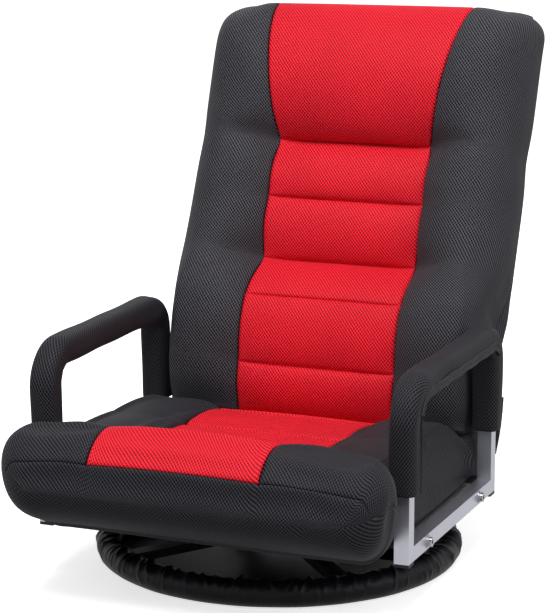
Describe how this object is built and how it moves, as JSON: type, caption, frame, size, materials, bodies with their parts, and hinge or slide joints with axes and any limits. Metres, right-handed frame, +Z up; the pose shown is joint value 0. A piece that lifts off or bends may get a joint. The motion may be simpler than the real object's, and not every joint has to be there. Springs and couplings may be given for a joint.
{
  "type": "floor chair",
  "caption": "Swivel floor chair with a reclining channelled back, a rolled seat front, padded loop arms and a covered ring base.",
  "frame": {"origin": "centre of the base ring on the floor", "axes": "+Z up, the chair faces -Y, +X is the sitter's left"},
  "size_m": [0.5474, 0.8157, 0.7304],
  "materials": {
    "red_mesh": "matt spacer mesh",
    "black_mesh": "matt spacer mesh",
    "black_cloth": "satin woven cloth",
    "black_binding": "woven tape",
    "foam": "open cell foam",
    "webbing": "woven elastic",
    "silver_paint": "silver grey powder coat",
    "black_paint": "black powder coat",
    "bright_zinc": "bright zinc",
    "plain_steel": "oiled",
    "black_plastic": "moulded",
    "board": "plain plywood"
  },
  "bodies": {
    "base": {"base_cover": "black_cloth", "base_cover_elastic": "webbing", "base_hub": "black_paint", "base_ring": "black_paint", "base_spokes": "black_paint", "swivel_lower_bolts": "plain_steel", "swivel_lower_plate": "plain_steel", "swivel_rivet": "plain_steel"},
    "ball_cage": {"swivel_balls": "plain_steel", "swivel_ball_cage": "black_plastic"},
    "seat": {"arm_bolts": "bright_zinc", "arm_closure_strip_left": "black_binding", "arm_closure_strip_right": "black_binding", "arm_end_caps": "black_plastic", "arm_frame_left": "silver_paint", "arm_frame_right": "silver_paint", "arm_nuts": "bright_zinc", "arm_rail_left": "silver_paint", "arm_rail_right": "silver_paint", "arm_sleeve_cover_left": "black_mesh", "arm_sleeve_cover_right": "black_mesh", "arm_sleeve_foam_left": "foam", "arm_sleeve_foam_right": "foam", "arm_washers": "bright_zinc", "hinge_inner_plate_left": "plain_steel", "hinge_inner_plate_right": "plain_steel", "hinge_outer_plate_left": "plain_steel", "hinge_outer_plate_right": "plain_steel", "hinge_pivots": "plain_steel", "hinge_spacers": "plain_steel", "pawl_rivets": "plain_steel", "pawl_springs": "plain_steel", "seat_board": "board", "seat_cover_boxing": "black_mesh", "seat_cover_centre": "red_mesh", "seat_cover_left": "black_mesh", "seat_cover_right": "black_mesh", "seat_foam": "foam", "seat_front_cross_tube": "black_paint", "seat_front_tube": "black_paint", "seat_rear_cross_tube": "black_paint", "seat_rear_tube": "black_paint", "seat_side_tube_left": "black_paint", "seat_side_tube_right": "black_paint", "seat_webbing": "webbing", "swivel_upper_bolts": "plain_steel", "swivel_upper_plate": "plain_steel"},
    "back": {"back_cover_centre": "red_mesh", "back_cover_left": "black_mesh", "back_cover_rear": "black_cloth", "back_cover_right": "black_mesh", "back_foam": "foam", "back_hoop": "black_paint", "back_lower_bar": "black_paint", "back_upper_bar": "black_paint", "back_webbing": "webbing", "ratchet_left": "plain_steel", "ratchet_right": "plain_steel"},
    "pawl_left": {"pawl_left": "plain_steel"},
    "pawl_right": {"pawl_right": "plain_steel"}
  },
  "joints": [
    {"name": "swivel", "type": "hinge", "parent": "base", "child": "seat", "pos_m": [0, 0, 0.0489], "axis": [0, 0, 1], "continuous": true},
    {"name": "ball_orbit", "type": "hinge", "parent": "base", "child": "ball_cage", "pos_m": [0, 0, 0.0489], "axis": [0, 0, 1], "continuous": true},
    {"name": "recline", "type": "hinge", "parent": "seat", "child": "back", "pos_m": [0, 0.168, 0.112], "axis": [-1, 0, 0], "range_deg": [-11.25, 67.5]},
    {"name": "pawl_left_lift", "type": "hinge", "parent": "seat", "child": "pawl_left", "pos_m": [0.2117, 0.1295, 0.10945], "axis": [1, 0, 0], "range_deg": [0, 10]},
    {"name": "pawl_right_lift", "type": "hinge", "parent": "seat", "child": "pawl_right", "pos_m": [-0.2117, 0.1295, 0.10945], "axis": [1, 0, 0], "range_deg": [0, 10]}
  ],
  "couplings": [
    {"joint": "ball_orbit", "follows": "swivel", "ratio": 0.5}
  ]
}
